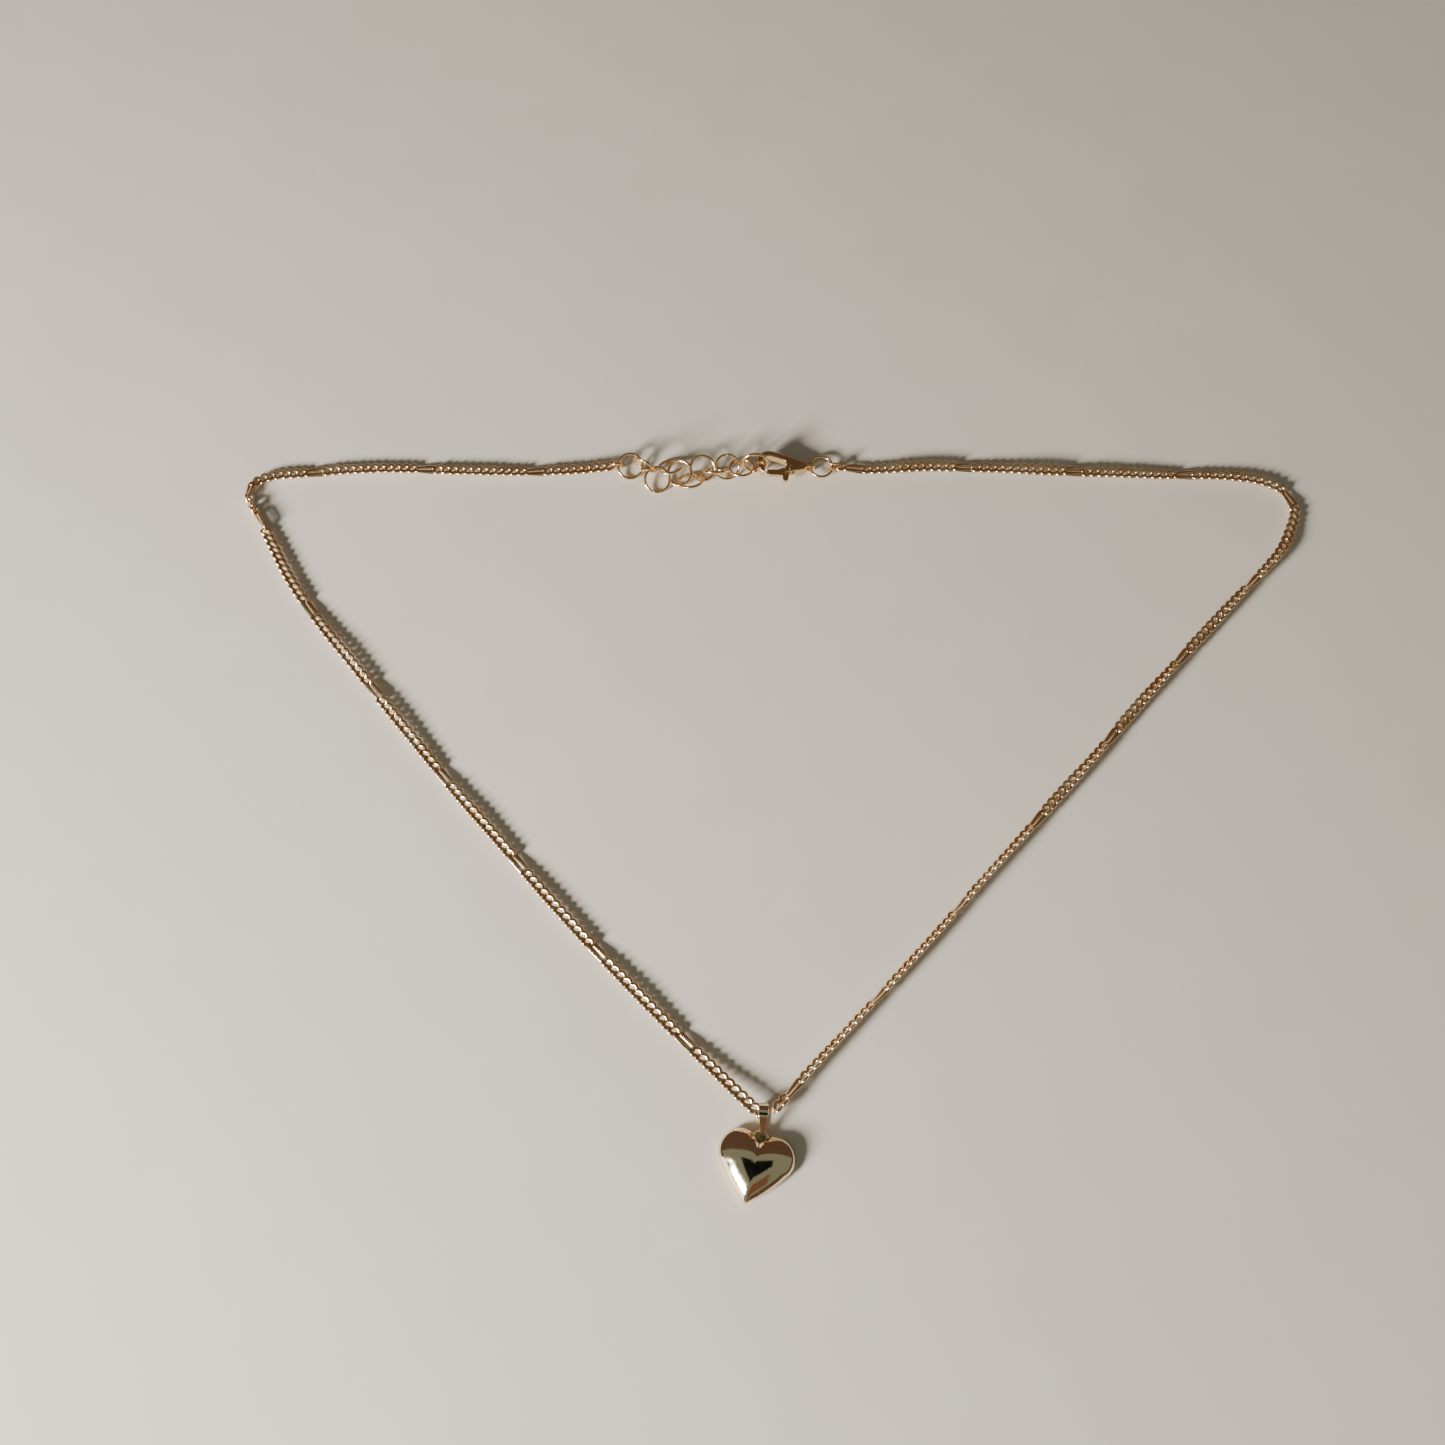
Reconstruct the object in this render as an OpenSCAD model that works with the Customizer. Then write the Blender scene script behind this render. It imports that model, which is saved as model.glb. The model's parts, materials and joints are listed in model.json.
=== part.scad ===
// Heart pendant necklace, lying flat and closed: curb chain with a longer link after every
// twelve small ones, ring extender, lobster clasp, strip bail and puffed heart.
// Millimetres, +Z up, the resting surface is z = 0, origin under the middle of the outline.

/* [Chain] */

// Thickness of the chain wire
wire = 0.42;  // [0.35:0.01:0.45]

// Width of a link, from the middle of one side wire to the middle of the other
link_width = 1.35;  // [1.2:0.05:1.5]

// Length of a small link, from the middle of one end to the middle of the other
small_length = 1.92;  // [1.9:0.01:1.96]

// Length of a long link, from the middle of one end to the middle of the other
long_length = 3.84;  // [3.6:0.02:4.2]

// Small links between two long links
small_links = 12;  // [8:1:14]

// How far each link is turned about the line of the chain, to one side and then the other
link_roll = 32;  // [28:1:40]

/* [Rings] */

// Thickness of the extender ring and jump ring wire
ring_wire = 0.5;  // [0.4:0.02:0.6]

// Outer diameter of an extender ring
extender_outer = 4.8;  // [4.4:0.1:5.2]

// Outer diameter of the jump ring at the clasp
jump_outer = 4.5;  // [4.2:0.1:5.0]

// Thickness of the wire in the two chain end rings
small_ring_wire = 0.45;  // [0.4:0.01:0.5]

// Outer diameter of the two chain end rings
small_ring_outer = 2.2;  // [2.1:0.05:2.4]

/* [Clasp] */

// Thickness of the clasp body
clasp_thickness = 1.7;  // [1.6:0.1:1.9]

// Width of the slot that the lever turns in
clasp_slot = 0.9;  // [0.8:0.05:1.0]

// Diameter of the pivot pin
pin_diameter = 0.5;  // [0.4:0.05:0.6]

/* [Heart] */

// Radius of each lobe of the heart
lobe_radius = 3.25;  // [2.9:0.05:3.5]

// Distance of a lobe's centre from the heart's centre line
lobe_offset = 2.55;  // [2.2:0.05:2.8]

// Distance from the line through the lobe centres to the tip
tip_distance = 7.3;  // [6.5:0.1:8]

// Height of the puffed front above the resting surface
heart_height = 3.1;  // [2.6:0.1:3.6]

// Wall thickness of the hollow heart
heart_wall = 0.35;  // [0.3:0.05:0.5]

// Thickness of the heart's loop
loop_wire = 0.6;  // [0.5:0.05:0.7]

// Outer diameter of the heart's loop
loop_outer = 2.6;  // [2.4:0.1:2.8]

/* [Bail] */

// Width of the bail's strip where it holds the chain
bail_width = 1.4;  // [1.2:0.1:1.6]

// Thickness of the bail's strip
bail_strip = 0.3;  // [0.25:0.05:0.35]

// Distance between the centres of the bail's two round ends
bail_length = 2.8;  // [2.4:0.1:3.2]

/* [Hidden] */

$fn = 48;
wire_r = wire / 2;
half_width = link_width / 2;
link_play = 0.12;
long_step = long_length - wire - link_play;
ring_r = ring_wire / 2;
extender_r = (extender_outer - ring_wire) / 2;
jump_r = (jump_outer - ring_wire) / 2;
small_ring_r = (small_ring_outer - small_ring_wire) / 2;
loop_r = (loop_outer - loop_wire) / 2;

// Moves the middle of the outline to the origin.
origin_shift = [-8.33, -68.93];

// The line of the chain from the left end ring to the bail: [x, y, lift above the resting
// surface, twist of the whole chain].
left_route = [
    [-19.2, 129.3, 0.6, 0],
    [-26, 128.9, 0, 0],
    [-36, 128.5, 0, 10],
    [-46, 128.8, 0, 0],
    [-56, 129.1, 0, 10],
    [-66, 128.9, 0, 0],
    [-74, 128.2, 0, 0],
    [-79.5, 127.5, 0, 0],
    [-82.8, 125.3, 0, 0],
    [-82.3, 122.2, 0, 0],
    [-79.6, 118, 0, 0],
    [-73.8, 107.6, 0, 0],
    [-68, 99.6, 0, 0],
    [-61.6, 91.9, 0, 10],
    [-55.3, 84.2, 0, 10],
    [-49, 76.7, 0, 0],
    [-42.5, 69, 0, 0],
    [-35.8, 61.6, 0, 0],
    [-29.2, 54.1, 0, 0],
    [-22.5, 46.8, 0, 0],
    [-15.5, 39.6, 0, 0],
    [-8.5, 32.6, 0, 0],
    [-1.2, 25.6, 0.2, 0],
    [2.8, 21.7, 0.7, 0],
    [5.3, 19.5, 0.9, 0],
    [6.5, 19.1, 0.9, 0]
];

// The line of the chain from the right end ring to the other side of the bail.
right_route = [
    [20.2, 129.4, 0.5, 0],
    [26, 129, 0, 0],
    [36, 129.5, 0, 20],
    [46, 129.3, 0, 0],
    [56, 128.8, 0, 20],
    [66, 128.4, 0, 10],
    [76, 128, 0, 0],
    [84, 127.9, 0, 0],
    [90.5, 127.5, 0, 0],
    [95.6, 126.4, 0, 0],
    [98.8, 124, 0, 0],
    [99.6, 121, 0, 0],
    [98.4, 117.4, 0, 0],
    [95.5, 112.3, 0, 30],
    [88.5, 105.2, 0, 40],
    [81.5, 98, 0, 10],
    [74.6, 90.8, 0, 40],
    [67.8, 83.6, 0, 10],
    [61.2, 76.2, 0, 40],
    [54.3, 68.9, 0, 20],
    [47.5, 61.6, 0, 50],
    [40.7, 54.4, 0, 58],
    [34, 47.1, 0, 58],
    [27, 39.7, 0, 58],
    [20.1, 32.6, 0, 58],
    [13.7, 26, 0.1, 50],
    [10.3, 22.4, 0.3, 40],
    [7.85, 19.65, 0.7, 30]
];

// Links in each length of chain, from the clasp end to the bail: 1 is small, 2 is long.
unit = [for (i = [0:small_links]) i < small_links ? 1 : 2];
left_first = [for (i = [0:9]) i < 9 ? 1 : 2];
left_last = [for (i = [2:small_links]) 1];
right_last = concat(unit, [1, 1]);
left_units = 11;
right_units = 12;
left_runs = [for (k = [1:left_units]) k == 1 ? left_first : k == left_units ? left_last : unit];
right_runs = [for (k = [1:right_units]) k == 1 ? [1, 2] : k == right_units ? right_last : unit];

// Extender rings from the chain end to the clasp: [x, y, roll about the line of the rings].
extender_rings = [
    [-16.2, 129.4, 25],
    [-13.6, 128.9, -80],
    [-11.4, 126.7, 25],
    [-9.1, 129.2, -30],
    [-7.5, 127.9, 30],
    [-5.5, 126.4, -30],
    [-3.5, 128.9, 30],
    [-1.3, 127.9, -55],
    [0.8, 128.9, 45],
    [3.4, 129.2, -20],
    [5.7, 129.4, 78]
];
before_rings = [-18.5, 128.5];
after_rings = [9, 129.2];

// Clasp: the middle of its body, its slope down to the tail and the level of its eye.
clasp_at = [10.9, 129.3, 1.6];
clasp_slope = 7;
hook_r = 2.3;
hook_x = -2.7;
tail_r = 0.85;
tail_x = 2.95;
tail_y = -0.2;
pivot = [0.9, -0.75];
pin_r = pin_diameter / 2;
hub_r = 0.72;
eye_x = 4.4;
eye_r = 0.75;
eye_wire_r = 0.3;
jump_at = [17.35, 129.4, 1];
jump_slope = 1.5;
left_ring_at = [-18.55, 129.33, 1.3];
left_ring_turn = 4;
right_ring_at = [19.6, 129.4, 1.12];

// Bail: its round end about the chain, its turn in the plane and its slope to the heart.
bail_at = [6.1, 19.25, 1.5];
bail_turn = -4;
bail_slope = 12;
bail_head_r = 1.2;
bail_foot_r = 0.35;
bail_foot_width = 0.7;
bail_foot = [
    bail_at[0] + bail_length * cos(bail_slope) * sin(bail_turn),
    bail_at[1] - bail_length * cos(bail_slope) * cos(bail_turn),
    bail_at[2] - bail_length * sin(bail_slope)
];

// Heart: its turn in the plane, and the level of the rim where its two halves meet.
heart_turn = -14;
rim_z = bail_foot[2];
back_scale = 0.9;
cleft = sqrt(lobe_radius * lobe_radius - lobe_offset * lobe_offset);
loop_y = cleft + loop_r - 0.7;
heart_at = [
    bail_foot[0] - (loop_y + loop_r) * sin(-heart_turn),
    bail_foot[1] - (loop_y + loop_r) * cos(heart_turn)
];

// ---- smooth line through the route points ----

route_steps = 8;

function spline(a, b, c, d, t) =
    0.5 * (2 * b + (c - a) * t + (2 * a - 5 * b + 4 * c - d) * t * t
    + (3 * b - a - 3 * c + d) * t * t * t);

function smooth(route) = [
    for (i = [0:len(route) - 2], j = [0:route_steps - 1])
        spline(route[max(i - 1, 0)], route[i], route[i + 1],
            route[min(i + 2, len(route) - 1)], j / route_steps),
    route[len(route) - 1]
];

function plan(p) = [p[0], p[1]];

function lengths(line) = [
    for (i = 0, s = 0; i < len(line); i = i + 1,
        s = i < len(line) ? s + norm(plan(line[i]) - plan(line[i - 1])) : s) s
];

function column(line, s, k) = [for (i = [0:len(line) - 1]) [s[i], line[i][k]]];

// How far the middle of a unit of small links stands clear of the surface.
arch = 0.16;

// The resting height of the chain's middle, for a twist and a lift.
function rest_z(twist, lift) =
    wire_r + 0.02 + half_width * sin(min(90, abs(twist) + link_roll)) + lift;

function flat_list(lists) = [for (list = lists) for (v = list) v];

function count(list, value) = len([for (v = list) if (v == value) 1]);

// The points where links hook together, [x, y, z, twist], from the clasp end to the bail.
// The small links share what the long ones leave of the line.
function hooks(route, runs) =
    let (
        line = smooth(route),
        s = lengths(line),
        total = s[len(s) - 1],
        kinds = flat_list(runs),
        first_long = search(2, kinds)[0] + 0.5,
        small_step = (total - count(kinds, 2) * long_step) / count(kinds, 1),
        at = [for (i = 0, p = 0; i <= len(kinds);
            p = p + (i < len(kinds) ? (kinds[i] == 2 ? long_step : small_step) : 0),
            i = i + 1) p],
        xs = column(line, s, 0),
        ys = column(line, s, 1),
        lifts = column(line, s, 2),
        twists = column(line, s, 3)
    )
    [for (i = [0:len(at) - 1])
        let (p = at[i], rise = arch * abs(sin(180 * (i - first_long) / (small_links + 1))))
        [lookup(p, xs), lookup(p, ys),
            rest_z(lookup(p, twists), max(0, lookup(p, lifts)) + rise), lookup(p, twists)]];

function first_link(runs, k) = k == 0 ? 0 : len(flat_list([for (i = [0:k - 1]) runs[i]]));

function point(h) = [h[0], h[1], h[2]];

// ---- shared shapes ----

module ring(radius, thickness) {
    rotate_extrude()
        translate([radius, 0])
            circle(r = thickness);
}

module half_ring(radius, thickness) {
    rotate_extrude(angle = 180)
        translate([radius, 0])
            circle(r = thickness);
}

// A link of the given length between the middles of its ends, lying along x.
module link(length) {
    straight = length / 2 - half_width;
    union() {
        for (side = [-1, 1]) {
            translate([side * straight, 0, 0])
                rotate([0, 0, side * -90])
                    half_ring(half_width, wire_r);
            translate([-straight, side * half_width, 0])
                rotate([0, 90, 0])
                    cylinder(h = 2 * straight, r = wire_r);
        }
    }
}

// One length of chain: its links as separate solids, each from hook to hook.
module chain_run(points, runs, k) {
    first = first_link(runs, k);
    for (i = [0:len(runs[k]) - 1]) {
        a = points[first + i];
        b = points[first + i + 1];
        step = point(b) - point(a);
        side = (first + i) % 2 == 0 ? 1 : -1;
        translate((point(a) + point(b)) / 2)
            rotate([0, 0, atan2(step[1], step[0])])
                rotate([0, -atan2(step[2], norm(plan(step))), 0])
                    rotate([(a[3] + b[3]) / 2 + side * link_roll, 0, 0])
                        link(runs[k][i] == 2 ? long_length : small_length);
    }
}

module placed() {
    translate([origin_shift[0], origin_shift[1], 0])
        children();
}

// The outline round two circles, the second at +x, as points in order.
function belt(r1, r2, apart, steps = 16) =
    let (lean = acos((r1 - r2) / apart))
    concat(
        [for (i = [0:steps]) let (a = lean + i * (360 - 2 * lean) / steps) r1 * [cos(a), sin(a)]],
        [for (i = [0:steps]) let (a = -lean + i * 2 * lean / steps)
            [apart, 0] + r2 * [cos(a), sin(a)]]
    );

// ---- chain ----

left_points = hooks(left_route, left_runs);
right_points = hooks(right_route, right_runs);

module left_run(k) {
    color("Gold")
        placed()
            chain_run(left_points, left_runs, k);
}

module right_run(k) {
    color("Gold")
        placed()
            chain_run(right_points, right_runs, k);
}

// ---- rings ----

function ring_turn(i) =
    let (
        a = i == 0 ? before_rings : plan(extender_rings[i - 1]),
        b = i == len(extender_rings) - 1 ? after_rings : plan(extender_rings[i + 1]),
        d = b - a
    )
    atan2(d[1], d[0]);

module extender_ring(i) {
    v = extender_rings[i];
    color("Goldenrod")
        placed()
            translate([v[0], v[1], extender_r * sin(abs(v[2])) + ring_r + 0.03])
                rotate([v[2], 0, ring_turn(i)])
                    ring(extender_r, ring_r);
}

module left_end_ring() {
    color("Goldenrod")
        placed()
            translate(left_ring_at)
                rotate([90, 0, left_ring_turn])
                    ring(small_ring_r, small_ring_wire / 2);
}

module right_end_ring() {
    color("Goldenrod")
        placed()
            translate(right_ring_at)
                rotate([90, 0, 0])
                    ring(small_ring_r, small_ring_wire / 2);
}

module jump_ring() {
    color("Goldenrod")
        placed()
            translate(jump_at)
                rotate([0, jump_slope, 0])
                    ring(jump_r, ring_r);
}

// ---- clasp ----

module clasp_place() {
    placed()
        translate(clasp_at)
            rotate([0, clasp_slope, 0])
                children();
}

// The claw's outline without its opening.
module claw_outline() {
    reach = tail_x - hook_x;
    translate([hook_x, 0])
        rotate([0, 0, atan2(tail_y, reach)])
            polygon(belt(hook_r, tail_r, reach, 24));
}

module claw_opening() {
    translate([-2.75, 0.1])
        rotate([0, 0, -4])
            polygon(belt(1.15, 0.7, 2.3, 24));
}

// The space under the opening that the lever closes.
module claw_mouth() {
    polygon([[-3.6, -0.4], [-3.6, -3], [1.9, -3], [1.9, -1.6], [1.2, -0.2], [0.2, 0.2]]);
}

module clasp_body() {
    color("Gold")
        clasp_place()
            difference() {
                union() {
                    linear_extrude(height = clasp_thickness, center = true)
                        difference() {
                            claw_outline();
                            claw_opening();
                            polygon([[-3.6, -0.4], [-3.6, -3], [-0.1, -3], [-0.1, -0.2]]);
                        }
                    translate([eye_x, tail_y, 0])
                        rotate([90, 0, 0])
                            ring(eye_r, eye_wire_r);
                }
                linear_extrude(height = clasp_slot, center = true)
                    union() {
                        claw_mouth();
                        translate(pivot)
                            circle(r = hub_r + 0.15);
                    }
                translate([pivot[0], pivot[1], 0])
                    cylinder(h = clasp_thickness + 1, r = pin_r + 0.01, center = true);
            }
}

lever_thickness = 0.76;

module clasp_lever() {
    color("Goldenrod")
        clasp_place()
            difference() {
                linear_extrude(height = lever_thickness, center = true)
                    difference() {
                        union() {
                            polygon([
                                [-3.05, -1.15], [-3.35, -1.95], [-2.6, -2.2], [-1.2, -2.15],
                                [-0.5, -2.2], [-0.35, -3.1], [0.05, -3.3], [0.5, -3.1],
                                [0.7, -2.1], [pivot[0], pivot[1] - hub_r],
                                [pivot[0], pivot[1] + hub_r - 0.05], [0.2, -0.45],
                                [-0.5, -0.75], [-1.4, -1.1]
                            ]);
                            translate(pivot)
                                circle(r = hub_r);
                        }
                        translate(pivot)
                            circle(r = pin_r + 0.05);
                    }
                // seat of the spring beside the hub
                translate([pivot[0], pivot[1], 0.05])
                    cylinder(h = 1, r = hub_r + 0.02);
            }
}

module clasp_pin() {
    color("Silver")
        clasp_place()
            translate([pivot[0], pivot[1], 0])
                cylinder(h = clasp_thickness, r = pin_r, center = true);
}

spring_wire_r = 0.08;
spring_r = 0.42;

module clasp_spring() {
    color("Silver")
        clasp_place()
            translate([pivot[0], pivot[1], 0.16])
                rotate_extrude()
                    for (turn = [0, 1])
                        translate([spring_r, turn * 0.15])
                            circle(r = spring_wire_r);
}

// ---- bail ----

module bail() {
    wide = bail_width / 2;
    slim = bail_foot_width / 2;
    color("Gold")
        placed()
            translate(bail_at)
                rotate([0, 0, bail_turn - 90])
                    rotate([0, bail_slope, 0])
                        intersection() {
                            rotate([90, 0, 0])
                                linear_extrude(height = bail_width, center = true)
                                    difference() {
                                        polygon(belt(bail_head_r + bail_strip,
                                            bail_foot_r + bail_strip, bail_length));
                                        polygon(belt(bail_head_r, bail_foot_r, bail_length));
                                    }
                            linear_extrude(height = 6, center = true)
                                polygon([
                                    [-2, wide], [0.4, wide], [bail_length - 0.4, slim],
                                    [bail_length + 1, slim], [bail_length + 1, -slim],
                                    [bail_length - 0.4, -slim], [0.4, -wide], [-2, -wide]
                                ]);
                        }
}

// ---- heart ----

lobe_steps = 22;
side_steps = 10;
side_bulge = 0.3;

// Where the straight side leaves the right lobe.
tip_reach = sqrt(lobe_offset * lobe_offset + tip_distance * tip_distance);
side_angle = atan2(-tip_distance, -lobe_offset) + acos(lobe_radius / tip_reach);
cleft_angle = 180 - acos(lobe_offset / lobe_radius);

function lobe_point(a) = [lobe_offset + lobe_radius * cos(a), lobe_radius * sin(a)];

// The right half from the cleft to just before the tip.
right_half = concat(
    [for (i = [0:lobe_steps]) lobe_point(cleft_angle - i * (cleft_angle - side_angle) / lobe_steps)],
    [for (i = [1:side_steps - 1])
        let (
            t = i / side_steps,
            from = lobe_point(side_angle),
            to = [0, -tip_distance],
            out = [cos(side_angle), sin(side_angle)]
        )
        from + (to - from) * t + out * side_bulge * 4 * t * (1 - t)]
);
heart_outline = concat(
    right_half,
    [[0, -tip_distance]],
    [for (i = [len(right_half) - 1:-1:1]) [-right_half[i][0], right_half[i][1]]]
);

// The dome narrows toward this point.
dome_middle = [0, -0.9];

function scaled(points, s) = [for (p = points) dome_middle + s * (p - dome_middle)];

// The rings of one surface of the shell, [scale, z], from the back to near the top.
dome_rings = 12;

// How far the front already leans at the rim, before it turns over into the top.
rim_lean = 38;

function shell_rings(inset, z_back, top) = concat(
    [[back_scale - inset, z_back]],
    [for (i = [1:3]) let (a = i * 22.5)
        [back_scale - inset + (1 - back_scale) * sin(a), z_back + (rim_z - z_back) * (1 - cos(a))]],
    [for (i = [0:dome_rings - 1]) let (a = rim_lean + i * (90 - rim_lean) / dome_rings)
        [(1 - inset) * cos(a) / cos(rim_lean),
            rim_z + (top - rim_z) * (sin(a) - sin(rim_lean)) / (1 - sin(rim_lean))]]
);

function layer(points, s, z) = [for (p = scaled(points, s)) [p[0], p[1], z]];

back_plate = 0.4;

module heart_front_shell() {
    n = len(heart_outline);
    wall = heart_wall / lobe_radius / 2;
    outside = shell_rings(0, back_plate, heart_height);
    inside = shell_rings(wall, back_plate, heart_height - heart_wall);
    m = len(outside);
    points = concat(
        flat_list([for (v = outside) layer(heart_outline, v[0], v[1])]),
        flat_list([for (v = inside) layer(heart_outline, v[0], v[1])]),
        [[dome_middle[0], dome_middle[1], heart_height]],
        [[dome_middle[0], dome_middle[1], heart_height - heart_wall]]
    );
    faces = concat(
        [for (j = [0:m - 2], i = [0:n - 1])
            [j * n + i, j * n + (i + 1) % n, (j + 1) * n + (i + 1) % n]],
        [for (j = [0:m - 2], i = [0:n - 1])
            [j * n + i, (j + 1) * n + (i + 1) % n, (j + 1) * n + i]],
        [for (j = [0:m - 2], i = [0:n - 1])
            [(m + j) * n + i, (m + j + 1) * n + (i + 1) % n, (m + j) * n + (i + 1) % n]],
        [for (j = [0:m - 2], i = [0:n - 1])
            [(m + j) * n + i, (m + j + 1) * n + i, (m + j + 1) * n + (i + 1) % n]],
        [for (i = [0:n - 1]) [(m - 1) * n + i, (m - 1) * n + (i + 1) % n, 2 * m * n]],
        [for (i = [0:n - 1]) [(2 * m - 1) * n + (i + 1) % n, (2 * m - 1) * n + i, 2 * m * n + 1]],
        [for (i = [0:n - 1]) [i, m * n + i, (i + 1) % n]],
        [for (i = [0:n - 1]) [m * n + i, m * n + (i + 1) % n, (i + 1) % n]]
    );
    color("Gold")
        placed()
            translate([heart_at[0], heart_at[1], 0])
                rotate([0, 0, heart_turn])
                    polyhedron(points, faces, convexity = 4);
}

module heart_back_plate() {
    color("Gold")
        placed()
            translate([heart_at[0], heart_at[1], 0])
                rotate([0, 0, heart_turn])
                    linear_extrude(height = back_plate)
                        polygon(scaled(heart_outline, back_scale));
}

module heart_loop() {
    color("Goldenrod")
        placed()
            translate([heart_at[0], heart_at[1], rim_z])
                rotate([0, 0, heart_turn])
                    translate([0, loop_y, 0])
                        ring(loop_r, loop_wire / 2);
}

// ---- nodes ----

function two(k) = k < 10 ? str("0", k) : str(k);

LEFT_NODES = [for (k = [1:left_units]) str("left_chain_run_", two(k))];
RIGHT_NODES = [for (k = [1:right_units]) str("right_chain_run_", two(k))];
RING_NODES = [for (k = [1:len(extender_rings)]) str("extender_ring_", two(k))];

for (k = [0:left_units - 1]) {
    left_run(k);
}
for (k = [0:right_units - 1]) {
    right_run(k);
}
for (k = [0:len(extender_rings) - 1]) {
    extender_ring(k);
}
left_end_ring();
right_end_ring();
jump_ring();
clasp_body();
clasp_lever();
clasp_pin();
clasp_spring();
bail();
heart_loop();
heart_front_shell();
heart_back_plate();
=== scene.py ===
"""Visual model of the heart pendant necklace: polished gold-plated curb chain, rings, clasp, bail
and heart, laid closed on a pale surface. Metres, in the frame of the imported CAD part."""

import json
import math
import random

import bpy
import numpy as np
from mathutils import Matrix, Vector


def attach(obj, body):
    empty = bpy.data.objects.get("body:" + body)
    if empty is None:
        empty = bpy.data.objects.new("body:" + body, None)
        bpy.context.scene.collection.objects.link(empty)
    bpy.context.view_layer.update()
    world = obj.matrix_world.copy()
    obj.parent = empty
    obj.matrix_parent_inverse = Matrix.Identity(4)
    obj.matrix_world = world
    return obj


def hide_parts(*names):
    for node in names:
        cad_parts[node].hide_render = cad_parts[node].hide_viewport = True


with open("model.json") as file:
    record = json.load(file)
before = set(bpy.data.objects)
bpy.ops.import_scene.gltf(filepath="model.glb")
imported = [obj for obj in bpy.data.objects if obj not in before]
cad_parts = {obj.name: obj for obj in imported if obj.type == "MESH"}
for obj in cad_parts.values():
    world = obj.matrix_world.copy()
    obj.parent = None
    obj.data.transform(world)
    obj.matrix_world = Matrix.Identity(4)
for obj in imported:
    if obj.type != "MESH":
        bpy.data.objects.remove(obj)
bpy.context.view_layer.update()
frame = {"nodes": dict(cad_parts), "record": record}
NODES = frame["nodes"]
BODY_OF = {n: b for b, ns in frame["record"]["behaviour"]["bodies"].items() for n in ns}

MM = 0.001
random.seed(7)

# Chain sizes, as in the CAD part.
WIRE_R = 0.21 * MM
HALF_WIDTH = 0.675 * MM
LINK_ROLL = math.radians(32)

# The curb links that are drawn in their place: half width and half height of the wire, and the
# slant of a small link across the line of the chain.
SMALL_WIRE = (0.37 * MM, 0.25 * MM)
LONG_WIRE = (0.43 * MM, 0.18 * MM)
SMALL_TWIST = 0.8 * LINK_ROLL
LONG_TWIST = 0.5 * LINK_ROLL
LINK_SLANT = math.radians(30)
LONG_LINK_LENGTH = 3 * MM
CLEARANCE = 0.01 * MM
UP = Vector((0, 0, 1))


# ---- materials ----


def node(tree, kind, at, **values):
    n = tree.nodes.new(kind)
    n.location = at
    for key, value in values.items():
        setattr(n, key, value)
    return n


def gold(name, dark, light, rough, scale, worn=0.0, scratch=0.0):
    """Polished plating: patchy tint, patchy polish, fine dents and, on large pieces, hairline scratches."""
    m = bpy.data.materials.new(name)
    m.use_nodes = True
    t = m.node_tree
    bsdf = t.nodes["Principled BSDF"]
    bsdf.inputs["Metallic"].default_value = 1.0
    coords = node(t, "ShaderNodeTexCoord", (-1200, 0))
    patches = node(t, "ShaderNodeTexNoise", (-900, 200))
    patches.inputs["Scale"].default_value = scale
    patches.inputs["Detail"].default_value = 4.0
    t.links.new(coords.outputs["Object"], patches.inputs["Vector"])
    tint = node(t, "ShaderNodeMix", (-500, 250), data_type="RGBA")
    tint.inputs["A"].default_value = (*dark, 1)
    tint.inputs["B"].default_value = (*light, 1)
    spread = node(t, "ShaderNodeMapRange", (-700, 250))
    spread.inputs["From Min"].default_value = 0.35
    spread.inputs["From Max"].default_value = 0.65
    t.links.new(patches.outputs["Fac"], spread.inputs["Value"])
    t.links.new(spread.outputs["Result"], tint.inputs["Factor"])
    t.links.new(tint.outputs["Result"], bsdf.inputs["Base Color"])
    polish = node(t, "ShaderNodeMapRange", (-500, -50))
    polish.inputs["From Min"].default_value = 0.3
    polish.inputs["From Max"].default_value = 0.7
    polish.inputs["To Min"].default_value = rough
    polish.inputs["To Max"].default_value = rough + 0.1 + worn
    fine = node(t, "ShaderNodeTexNoise", (-900, -100))
    fine.inputs["Scale"].default_value = scale * 6
    fine.inputs["Detail"].default_value = 3.0
    t.links.new(coords.outputs["Object"], fine.inputs["Vector"])
    t.links.new(fine.outputs["Fac"], polish.inputs["Value"])
    t.links.new(polish.outputs["Result"], bsdf.inputs["Roughness"])
    bump = node(t, "ShaderNodeBump", (-250, -300))
    bump.inputs["Strength"].default_value = 0.12
    bump.inputs["Distance"].default_value = 0.02 * MM
    t.links.new(fine.outputs["Fac"], bump.inputs["Height"])
    last = bump
    if scratch:
        turned = node(t, "ShaderNodeMapping", (-1000, -500))
        turned.inputs["Rotation"].default_value = (0, 0, math.radians(62))
        turned.inputs["Scale"].default_value = (900, 9000, 900)
        t.links.new(coords.outputs["Object"], turned.inputs["Vector"])
        lines = node(t, "ShaderNodeTexNoise", (-800, -500))
        lines.inputs["Scale"].default_value = 1.0
        lines.inputs["Detail"].default_value = 2.0
        t.links.new(turned.outputs["Vector"], lines.inputs["Vector"])
        hair = node(t, "ShaderNodeBump", (-100, -450))
        hair.inputs["Strength"].default_value = scratch
        hair.inputs["Distance"].default_value = 0.01 * MM
        t.links.new(lines.outputs["Fac"], hair.inputs["Height"])
        t.links.new(bump.outputs["Normal"], hair.inputs["Normal"])
        last = hair
    t.links.new(last.outputs["Normal"], bsdf.inputs["Normal"])
    return m


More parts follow.
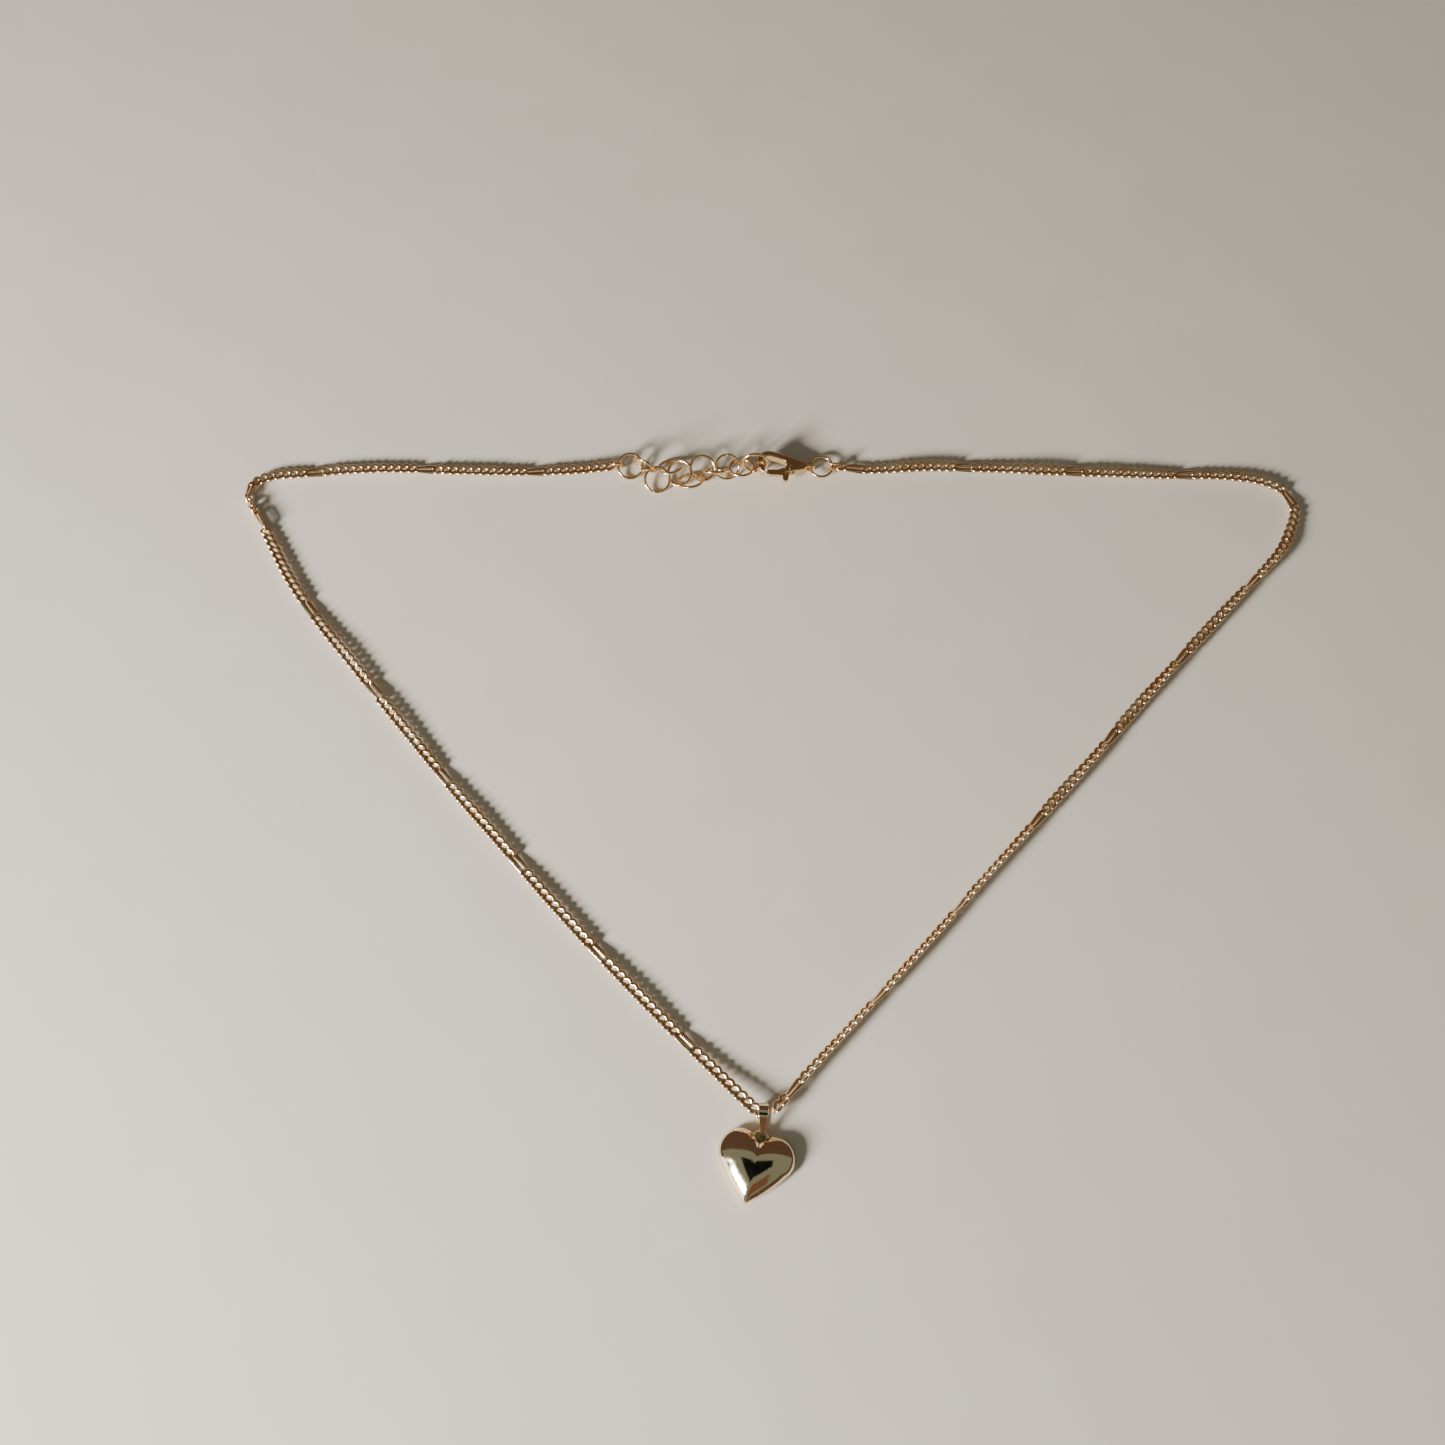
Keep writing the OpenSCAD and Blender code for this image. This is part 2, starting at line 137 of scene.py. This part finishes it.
CHAIN_GOLD = gold("chain_gold", (0.84, 0.55, 0.29), (0.97, 0.77, 0.53), 0.16, 350)
RING_GOLD = gold("ring_gold", (0.84, 0.55, 0.28), (0.95, 0.71, 0.42), 0.12, 300)
CLASP_GOLD = gold("clasp_gold", (0.80, 0.53, 0.26), (0.94, 0.72, 0.43), 0.10, 260, worn=0.03)
HEART_GOLD = gold("heart_gold", (0.88, 0.70, 0.47), (0.94, 0.78, 0.55), 0.04, 160, scratch=0.3)
STEEL = gold("spring_steel", (0.50, 0.49, 0.48), (0.66, 0.65, 0.63), 0.3, 900)


def surface_material():
    m = bpy.data.materials.new("pale_surface")
    m.use_nodes = True
    t = m.node_tree
    bsdf = t.nodes["Principled BSDF"]
    bsdf.inputs["Roughness"].default_value = 0.7
    coords = node(t, "ShaderNodeTexCoord", (-900, 0))
    grain = node(t, "ShaderNodeTexNoise", (-700, 0))
    grain.inputs["Scale"].default_value = 60
    grain.inputs["Detail"].default_value = 6
    mix = node(t, "ShaderNodeMix", (-400, 0), data_type="RGBA")
    mix.inputs["A"].default_value = (0.62, 0.57, 0.50, 1)
    mix.inputs["B"].default_value = (0.68, 0.63, 0.56, 1)
    t.links.new(coords.outputs["Object"], grain.inputs["Vector"])
    t.links.new(grain.outputs["Fac"], mix.inputs["Factor"])
    t.links.new(mix.outputs["Result"], bsdf.inputs["Base Color"])
    return m


# ---- shared geometry ----


def mesh_object(name, verts, faces, material, smooth=True):
    mesh = bpy.data.meshes.new(name)
    mesh.from_pydata(verts, [], faces)
    mesh.validate()
    if smooth:
        mesh.polygons.foreach_set("use_smooth", [True] * len(mesh.polygons))
    mesh.materials.append(material)
    mesh.update()
    obj = bpy.data.objects.new(name, mesh)
    bpy.context.scene.collection.objects.link(obj)
    return obj


def square(w, h):
    """The corners of a flat rectangle, from its half sides."""
    return [(-w, -h, 0), (w, -h, 0), (w, h, 0), (-w, h, 0)]


def stand_for(obj, node_name):
    """Puts a piece on the body of the CAD node that it replaces."""
    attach(obj, BODY_OF[node_name])
    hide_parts(node_name)
    return obj


def islands(obj):
    """The vertices of each loose solid of a CAD node, as arrays."""
    mesh = obj.data
    count = len(mesh.vertices)
    co = np.empty(count * 3)
    mesh.vertices.foreach_get("co", co)
    co = co.reshape(-1, 3)
    key = {}
    welded = np.empty(count, int)
    for i, p in enumerate(np.round(co / 1e-7).astype(np.int64)):
        welded[i] = key.setdefault(tuple(p), i)
    root = list(range(count))

    def find(i):
        while root[i] != i:
            root[i] = root[root[i]]
            i = root[i]
        return i

    for edge in mesh.edges:
        a, b = find(welded[edge.vertices[0]]), find(welded[edge.vertices[1]])
        if a != b:
            root[b] = a
    groups = {}
    for i in range(count):
        groups.setdefault(find(welded[i]), []).append(i)
    return [co[g] for g in groups.values()]


def wire_loop(centre, half_wide, half_high, sides=12):
    """Vertices and faces of a closed wire with an oval section along (place, up) pairs."""
    n = len(centre)
    verts, faces = [], []
    for i, (p, up) in enumerate(centre):
        ahead, behind = centre[(i + 1) % n][0], centre[i - 1][0]
        along = (ahead - behind).normalized()
        side = along.cross(up).normalized()
        rise = side.cross(along)
        for k in range(sides):
            a = 2 * math.pi * (k + 0.5) / sides
            verts.append(p + side * half_wide * math.cos(a) + rise * half_high * math.sin(a))
    for i in range(n):
        for k in range(sides):
            j, m = (i + 1) % n, (k + 1) % sides
            faces.append((i * sides + k, j * sides + k, j * sides + m, i * sides + m))
    return verts, faces


# ---- chain ----


def link_shape(length, half_width, twist, steps):
    """A curb link along x: an oval whose two ends are turned against each other."""
    straight = length / 2 - half_width
    points = []
    total = 4 * straight + 2 * math.pi * half_width
    for i in range(steps):
        s = total * i / steps
        if s < 2 * straight:
            x, y = -straight + s, -half_width
        elif s < 2 * straight + math.pi * half_width:
            a = (s - 2 * straight) / half_width - math.pi / 2
            x, y = straight + half_width * math.cos(a), half_width * math.sin(a)
        elif s < 4 * straight + math.pi * half_width:
            x, y = straight - (s - 2 * straight - math.pi * half_width), half_width
        else:
            a = (s - 4 * straight - math.pi * half_width) / half_width + math.pi / 2
            x, y = -straight + half_width * math.cos(a), half_width * math.sin(a)
        turn = twist * max(-1, min(1, x / (length / 2)))
        points.append((Vector((x, y * math.cos(turn), y * math.sin(turn))),
                       Vector((0, -math.sin(turn), math.cos(turn)))))
    return points


def chain_links(obj):
    """Each link of a CAD chain length: its middle, direction, plane angle about the direction and length."""
    found = []
    for co in islands(obj):
        middle = co.mean(0)
        spread = co - middle
        vectors = np.linalg.eigh(spread.T @ spread)[1]
        along = vectors[:, 2]
        normal = vectors[:, 0]
        reach = spread @ along
        centre = middle + along * (reach.max() + reach.min()) / 2
        found.append([Vector(centre), Vector(along), Vector(normal),
                      float(reach.max() - reach.min())])
    return found


def in_order(links):
    """The links from one end of the length to the other."""
    far = max(links, key=lambda a: max((a[0] - b[0]).length for b in links))
    left = [link for link in links if link is not far]
    order = [far]
    while left:
        near = min(left, key=lambda link: (link[0] - order[-1][0]).length)
        order.append(near)
        left = [link for link in left if link is not near]
    return order


def level_with(along):
    """The direction nearest to straight up that is square to the given one."""
    return (UP - along * UP.dot(along)).normalized()


def roll_of(along, normal):
    """The turn of a link's plane about its own direction, from lying flat."""
    flat = level_with(along)
    across = along.cross(flat)
    return math.atan2(normal.dot(across), normal.dot(flat))


def wrap(angle):
    """An angle of a plane, from -90 to 90 degrees."""
    return (angle + math.pi / 2) % math.pi - math.pi / 2


def make_chain(node_name):
    links = in_order(chain_links(NODES[node_name]))
    for i, link in enumerate(links):
        ahead = links[i + 1][0] - link[0] if i < len(links) - 1 else link[0] - links[i - 1][0]
        if link[1].dot(ahead) < 0:
            link[1] = -link[1]
    rolls = [roll_of(link[1], link[2]) for link in links]
    first = -1 if wrap(rolls[1] - rolls[0]) > 0 else 1
    verts, faces = [], []
    for i, (centre, along, normal, length) in enumerate(links):
        side = first if i % 2 == 0 else -first
        base = wrap(rolls[i] - side * LINK_ROLL)
        long_one = length > LONG_LINK_LENGTH
        half_wide, half_high = LONG_WIRE if long_one else SMALL_WIRE
        twist, steps = (LONG_TWIST, 56) if long_one else (SMALL_TWIST, 40)
        shape = link_shape(length - 2 * half_wide, HALF_WIDTH + WIRE_R - half_wide, twist, steps)
        flat = level_with(along)
        across = flat.cross(along)
        turned = Matrix.Rotation(base + math.radians(random.uniform(-4, 4)), 3, along)
        slant = Matrix.Rotation(0 if long_one else LINK_SLANT, 3, "Z")
        basis = turned @ Matrix((along, across, flat)).transposed() @ slant
        placed = [(centre + basis @ p, basis @ up) for p, up in shape]
        wire_verts, wire_faces = wire_loop(placed, half_wide, half_high)
        lift = UP * max(0, CLEARANCE - min(p.z for p in wire_verts))
        faces += [tuple(j + len(verts) for j in face) for face in wire_faces]
        verts += [p + lift for p in wire_verts]
    obj = mesh_object("links_" + node_name, verts, faces, CHAIN_GOLD)
    return stand_for(obj, node_name)


for name in sorted(NODES):
    if "chain_run" in name:
        make_chain(name)

# ---- rings ----

SEAM = 0.02 * MM


def ring_frame(obj):
    """A CAD ring's middle, axis, radius and wire radius."""
    co = np.vstack(islands(obj))
    middle = (co.min(0) + co.max(0)) / 2
    spread = co - middle
    axis = np.linalg.eigh(spread.T @ spread)[1][:, 0]
    normal = Vector(axis)
    across = spread - np.outer(spread @ axis, axis)
    far = np.linalg.norm(across, axis=1)
    return Vector(middle), normal, (far.max() + far.min()) / 2, (far.max() - far.min()) / 2


def make_ring(node_name, material, seam):
    """A bent wire ring with its cut seam."""
    middle, normal, radius, wire_r = ring_frame(NODES[node_name])
    start = normal.orthogonal().normalized()
    start.rotate(Matrix.Rotation(seam, 3, normal))
    side = normal.cross(start)
    gap = SEAM / radius
    steps, sides = 72, 16
    verts, faces = [], []
    for i in range(steps + 1):
        a = gap + (2 * math.pi - 2 * gap) * i / steps
        out = start * math.cos(a) + side * math.sin(a)
        for k in range(sides):
            b = 2 * math.pi * k / sides
            verts.append(middle + out * (radius + wire_r * 0.995 * math.cos(b))
                         + normal * wire_r * 0.995 * math.sin(b))
    for i in range(steps):
        for k in range(sides):
            m = (k + 1) % sides
            faces.append((i * sides + k, (i + 1) * sides + k, (i + 1) * sides + m, i * sides + m))
    faces.append(tuple(range(sides)))
    faces.append(tuple(steps * sides + k for k in reversed(range(sides))))
    obj = mesh_object("wire_" + node_name, verts, faces, material)
    for cap in list(obj.data.polygons)[-2:]:
        cap.use_smooth = False
    return stand_for(obj, node_name)


for name in sorted(NODES):
    if name.startswith("extender_ring") or name in ("jump_ring", "left_end_ring", "right_end_ring"):
        make_ring(name, RING_GOLD, random.uniform(0, 2 * math.pi))
make_ring("heart_loop", HEART_GOLD, 0.4)

# ---- clasp and bail: CAD shapes with cast, rounded edges ----


def dress(node_name, material):
    """Gives a CAD piece its material."""
    obj = NODES[node_name]
    obj.data.materials.clear()
    obj.data.materials.append(material)
    return obj


def cast(node_name, material, voxel, rounds):
    """Rounds a CAD piece's edges as casting and tumbling do."""
    obj = dress(node_name, material)
    remesh = obj.modifiers.new("cast", "REMESH")
    remesh.mode = "VOXEL"
    remesh.voxel_size = voxel
    remesh.use_smooth_shade = True
    soften = obj.modifiers.new("tumbled", "SMOOTH")
    soften.factor = 0.5
    soften.iterations = rounds
    return obj


cast("clasp_body", CLASP_GOLD, 0.06 * MM, 60)
cast("clasp_lever", CLASP_GOLD, 0.05 * MM, 5)
cast("bail", HEART_GOLD, 0.05 * MM, 3)
dress("clasp_pin", STEEL)
dress("clasp_spring", STEEL)
dress("heart_back_plate", HEART_GOLD)


# ---- heart ----


dress("heart_front_shell", HEART_GOLD)
heart = NODES["heart_front_shell"]
weld = heart.modifiers.new("weld", "WELD")
weld.merge_threshold = 1e-6
heart.data.polygons.foreach_set("use_smooth", [True] * len(heart.data.polygons))

# ---- floor, light and camera ----

FLOOR_REACH = 2
FLOOR_DROP = 0.02 * MM
floor = mesh_object("floor", square(FLOOR_REACH, FLOOR_REACH), [(0, 1, 2, 3)],
                    surface_material(), smooth=False)
floor.location.z = -FLOOR_DROP


def aim(obj, place, target):
    obj.location = place
    obj.rotation_euler = (Vector(target) - Vector(place)).to_track_quat("-Z", "Y").to_euler()


def area_light(name, place, target, size, power, color):
    data = bpy.data.lights.new(name, "AREA")
    data.shape = "RECTANGLE"
    data.size, data.size_y = size
    data.energy = power
    data.color = color
    obj = bpy.data.objects.new(name, data)
    bpy.context.scene.collection.objects.link(obj)
    aim(obj, place, target)
    return obj


area_light("window", (-0.46, -0.32, 0.22), (0, 0, 0), (0.14, 0.14), 12.5, (1.0, 0.96, 0.90))


def card(name, place, target, size, color, strength):
    """A plain reflector that the metal sees. It is out of the camera's sight and casts no shadow."""
    m = bpy.data.materials.new(name)
    m.use_nodes = True
    t = m.node_tree
    t.nodes.remove(t.nodes["Principled BSDF"])
    glow = node(t, "ShaderNodeEmission", (0, 0))
    glow.inputs["Color"].default_value = (*color, 1)
    glow.inputs["Strength"].default_value = strength
    t.links.new(glow.outputs["Emission"], t.nodes["Material Output"].inputs["Surface"])
    obj = mesh_object(name, square(size[0] / 2, size[1] / 2), [(0, 1, 2, 3)], m, smooth=False)
    aim(obj, place, target)
    obj.visible_camera = False
    obj.visible_shadow = False
    return obj


card("ceiling", (0.0, -0.76, 0.45), (0, -0.76, 0), (4.0, 1.8), (0.62, 0.68, 0.56), 0.34)
card("wall", (-0.66, -0.44, 0.07), (0, 0, 0.04), (0.45, 0.14), (1.0, 0.94, 0.85), 2.4)
# Dark things over the heart that it mirrors. They take no light from the surface.
phone = card("phone", (0.0, -0.16, 0.36), (0.0, -0.16, 0), (0.46, 0.20), (0.02, 0.025, 0.03), 0.3)
hand = card("hand", (0.08, -0.40, 0.22), (0, -0.06, 0), (0.34, 0.16), (0.34, 0.17, 0.11), 0.5)
for dark in (phone, hand):
    dark.visible_diffuse = False

world = bpy.data.worlds.new("room")
world.use_nodes = True
world.node_tree.nodes["Background"].inputs["Color"].default_value = (0.46, 0.29, 0.21, 1)
world.node_tree.nodes["Background"].inputs["Strength"].default_value = 0.22
bpy.context.scene.world = world

camera_data = bpy.data.cameras.new("camera")
camera_data.sensor_width = 36
camera_data.lens = 36.1
camera_data.clip_start = 0.01
camera = bpy.data.objects.new("camera", camera_data)
bpy.context.scene.collection.objects.link(camera)
camera.location = (-0.00833, -0.06893, 0.225)
camera.rotation_euler = (math.radians(20), 0, 0)
bpy.context.scene.camera = camera
